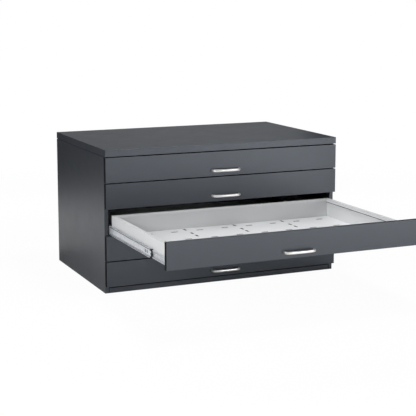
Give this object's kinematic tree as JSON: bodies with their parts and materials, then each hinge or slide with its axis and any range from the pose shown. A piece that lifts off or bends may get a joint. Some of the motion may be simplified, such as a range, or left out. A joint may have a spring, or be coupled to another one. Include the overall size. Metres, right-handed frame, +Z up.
{
  "type": "flat file cabinet",
  "caption": "Low steel flat file cabinet for large sheets, with shallow full-extension drawers on ball-bearing slides and bow handles.",
  "frame": {"origin": "on the floor, under the middle of the whole object's box with the third drawer from the top open", "axes": "+X to the right as seen from the front, +Y from the drawers' fronts to the back, +Z up"},
  "size_m": [1.1, 1.403, 0.615],
  "materials": {
    "anthracite_paint": "anthracite powder coat, semi-matte",
    "light_grey_paint": "light grey powder coat, semi-gloss",
    "zinc_plate": "bright zinc plate",
    "satin_metal": "satin"
  },
  "bodies": {
    "cabinet": {"top_panel": "anthracite_paint", "left_side_panel": "anthracite_paint", "right_side_panel": "anthracite_paint", "back_panel": "anthracite_paint", "base_pan": "anthracite_paint", "left_front_upright": "anthracite_paint", "left_rear_upright": "anthracite_paint", "right_front_upright": "anthracite_paint", "right_rear_upright": "anthracite_paint", "drawer_1_left_outer_rail": "zinc_plate", "drawer_1_right_outer_rail": "zinc_plate", "drawer_2_left_outer_rail": "zinc_plate", "drawer_2_right_outer_rail": "zinc_plate", "drawer_3_left_outer_rail": "zinc_plate", "drawer_3_right_outer_rail": "zinc_plate", "drawer_4_left_outer_rail": "zinc_plate", "drawer_4_right_outer_rail": "zinc_plate", "drawer_5_left_outer_rail": "zinc_plate", "drawer_5_right_outer_rail": "zinc_plate"},
    "drawer_1": {"drawer_1_front": "anthracite_paint", "drawer_1_handle": "satin_metal", "drawer_1_floor": "light_grey_paint", "drawer_1_back": "light_grey_paint", "drawer_1_left_side": "light_grey_paint", "drawer_1_right_side": "light_grey_paint"},
    "drawer_2": {"drawer_2_front": "anthracite_paint", "drawer_2_handle": "satin_metal", "drawer_2_floor": "light_grey_paint", "drawer_2_back": "light_grey_paint", "drawer_2_left_side": "light_grey_paint", "drawer_2_right_side": "light_grey_paint"},
    "drawer_3": {"drawer_3_front": "anthracite_paint", "drawer_3_handle": "satin_metal", "drawer_3_floor": "light_grey_paint", "drawer_3_back": "light_grey_paint", "drawer_3_left_side": "light_grey_paint", "drawer_3_right_side": "light_grey_paint"},
    "drawer_4": {"drawer_4_front": "anthracite_paint", "drawer_4_handle": "satin_metal", "drawer_4_floor": "light_grey_paint", "drawer_4_back": "light_grey_paint", "drawer_4_left_side": "light_grey_paint", "drawer_4_right_side": "light_grey_paint"},
    "drawer_5": {"drawer_5_front": "anthracite_paint", "drawer_5_handle": "satin_metal", "drawer_5_floor": "light_grey_paint", "drawer_5_back": "light_grey_paint", "drawer_5_left_side": "light_grey_paint", "drawer_5_right_side": "light_grey_paint"},
    "drawer_1_middle_rails": {"drawer_1_left_middle_rail": "zinc_plate", "drawer_1_right_middle_rail": "zinc_plate"},
    "drawer_2_middle_rails": {"drawer_2_left_middle_rail": "zinc_plate", "drawer_2_right_middle_rail": "zinc_plate"},
    "drawer_3_middle_rails": {"drawer_3_left_middle_rail": "zinc_plate", "drawer_3_right_middle_rail": "zinc_plate"},
    "drawer_4_middle_rails": {"drawer_4_left_middle_rail": "zinc_plate", "drawer_4_right_middle_rail": "zinc_plate"},
    "drawer_5_middle_rails": {"drawer_5_left_middle_rail": "zinc_plate", "drawer_5_right_middle_rail": "zinc_plate"}
  },
  "joints": [
    {"name": "drawer_1_slide", "type": "slide", "parent": "cabinet", "child": "drawer_1", "axis": [0, -1, 0], "range_m": [0, 0.675]},
    {"name": "drawer_2_slide", "type": "slide", "parent": "cabinet", "child": "drawer_2", "axis": [0, -1, 0], "range_m": [0, 0.675]},
    {"name": "drawer_3_slide", "type": "slide", "parent": "cabinet", "child": "drawer_3", "axis": [0, -1, 0], "range_m": [-0.675, 0]},
    {"name": "drawer_4_slide", "type": "slide", "parent": "cabinet", "child": "drawer_4", "axis": [0, -1, 0], "range_m": [0, 0.675]},
    {"name": "drawer_5_slide", "type": "slide", "parent": "cabinet", "child": "drawer_5", "axis": [0, -1, 0], "range_m": [0, 0.675]},
    {"name": "drawer_1_middle_slide", "type": "slide", "parent": "cabinet", "child": "drawer_1_middle_rails", "axis": [0, -1, 0], "range_m": [0, 0.48803]},
    {"name": "drawer_2_middle_slide", "type": "slide", "parent": "cabinet", "child": "drawer_2_middle_rails", "axis": [0, -1, 0], "range_m": [0, 0.48803]},
    {"name": "drawer_3_middle_slide", "type": "slide", "parent": "cabinet", "child": "drawer_3_middle_rails", "axis": [0, -1, 0], "range_m": [-0.48803, 0]},
    {"name": "drawer_4_middle_slide", "type": "slide", "parent": "cabinet", "child": "drawer_4_middle_rails", "axis": [0, -1, 0], "range_m": [0, 0.48803]},
    {"name": "drawer_5_middle_slide", "type": "slide", "parent": "cabinet", "child": "drawer_5_middle_rails", "axis": [0, -1, 0], "range_m": [0, 0.48803]}
  ],
  "couplings": [
    {"joint": "drawer_1_middle_slide", "follows": "drawer_1_slide", "ratio": 0.723},
    {"joint": "drawer_2_middle_slide", "follows": "drawer_2_slide", "ratio": 0.723},
    {"joint": "drawer_3_middle_slide", "follows": "drawer_3_slide", "ratio": 0.723},
    {"joint": "drawer_4_middle_slide", "follows": "drawer_4_slide", "ratio": 0.723},
    {"joint": "drawer_5_middle_slide", "follows": "drawer_5_slide", "ratio": 0.723}
  ]
}
